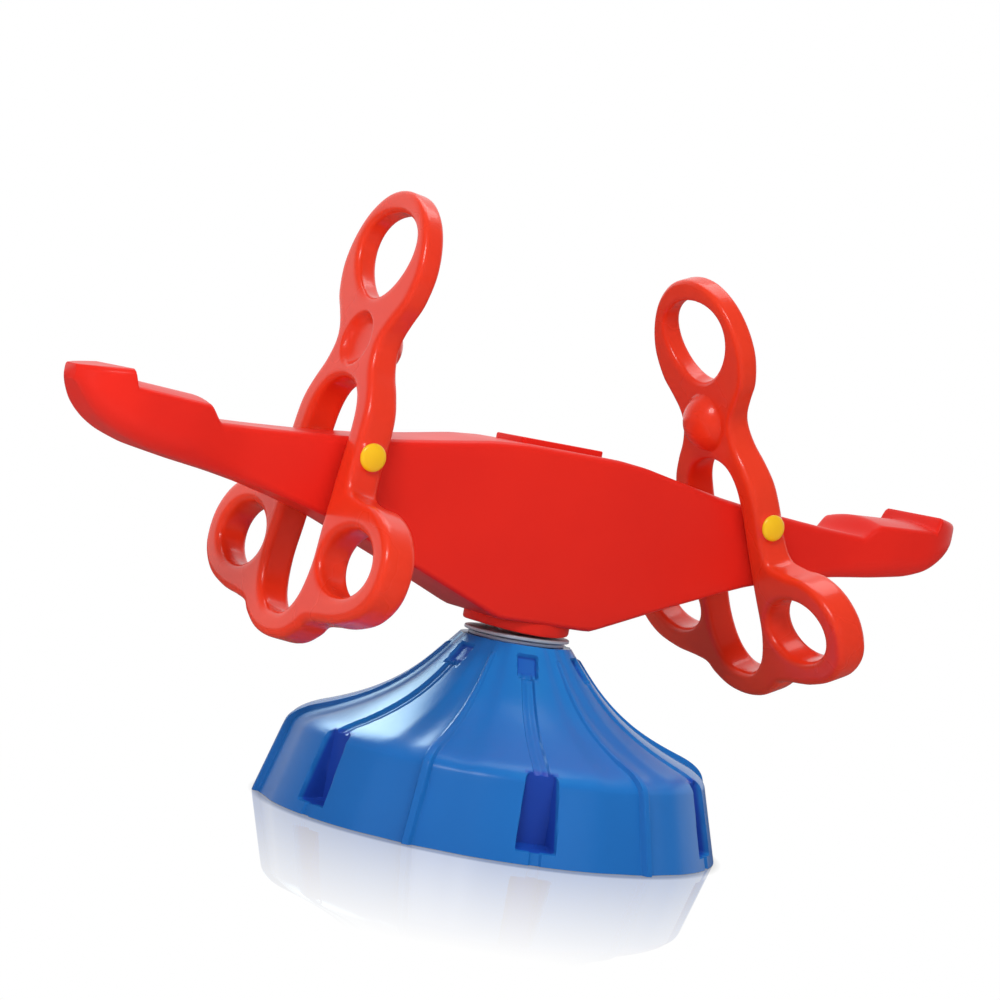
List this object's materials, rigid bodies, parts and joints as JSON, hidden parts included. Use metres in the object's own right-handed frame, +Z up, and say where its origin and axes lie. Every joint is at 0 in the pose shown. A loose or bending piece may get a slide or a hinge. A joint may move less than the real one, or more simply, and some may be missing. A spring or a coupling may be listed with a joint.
{
  "type": "seesaw",
  "caption": "Moulded playground seesaw: a hollow beam with raised seats and leaning hand-and-foot frames rocks and spins on a round, ribbed base.",
  "frame": {"origin": "on the floor, on the turntable's axis, at the middle of the base", "axes": "+X along the beam, +Y across it, +Z up"},
  "size_m": [1.618, 0.7392, 0.9403],
  "materials": {
    "blue_moulding": "semi-gloss rotationally moulded polyethylene",
    "red_moulding": "semi-gloss rotationally moulded polyethylene",
    "orange_red_moulding": "semi-gloss moulded polyethylene",
    "yellow_cap": "gloss moulded caps",
    "plate": "zinc plated steel plate",
    "steel": "zinc plated steel",
    "bush": "natural nylon",
    "friction_disc": "black friction discs"
  },
  "bodies": {
    "base": {"base_shell": "blue_moulding", "backing_plate": "steel", "lower_plate": "plate", "stud_washers": "steel", "stud_nuts": "steel", "king_bush": "bush", "bearing_balls": "steel", "ball_cage": "bush"},
    "turntable": {"upper_plate": "plate", "king_pin": "steel", "king_washer": "steel", "king_nut": "steel", "pivot_post": "steel", "post_bushes": "bush"},
    "beam": {"beam_shell": "red_moulding", "hub_cover": "red_moulding", "saddle": "steel", "saddle_bolts": "steel", "saddle_nuts": "steel", "pivot_axle": "steel", "axle_clips": "steel", "left_sleeve": "steel", "right_sleeve": "steel"},
    "left_handle": {"left_frame": "orange_red_moulding", "left_bolt": "steel", "left_washers": "steel", "left_nut": "steel", "left_spacers": "friction_disc", "left_caps": "yellow_cap"},
    "right_handle": {"right_frame": "orange_red_moulding", "right_bolt": "steel", "right_washers": "steel", "right_nut": "steel", "right_spacers": "friction_disc", "right_caps": "yellow_cap"}
  },
  "joints": [
    {"name": "spin", "type": "hinge", "parent": "base", "child": "turntable", "pos_m": [0, 0, 0.29], "axis": [0, 0, 1], "continuous": true},
    {"name": "rock", "type": "hinge", "parent": "turntable", "child": "beam", "pos_m": [0, 0, 0.545], "axis": [0, 1, 0], "range_deg": [-7.2, 4.8]},
    {"name": "left_lean", "type": "hinge", "parent": "beam", "child": "left_handle", "pos_m": [-0.36815, 0, 0.54171], "axis": [0, 1, 0], "range_deg": [-7, 23]},
    {"name": "right_lean", "type": "hinge", "parent": "beam", "child": "right_handle", "pos_m": [0.36769, 0, 0.5263], "axis": [0, -1, 0], "range_deg": [-23.5, 6.5]}
  ]
}
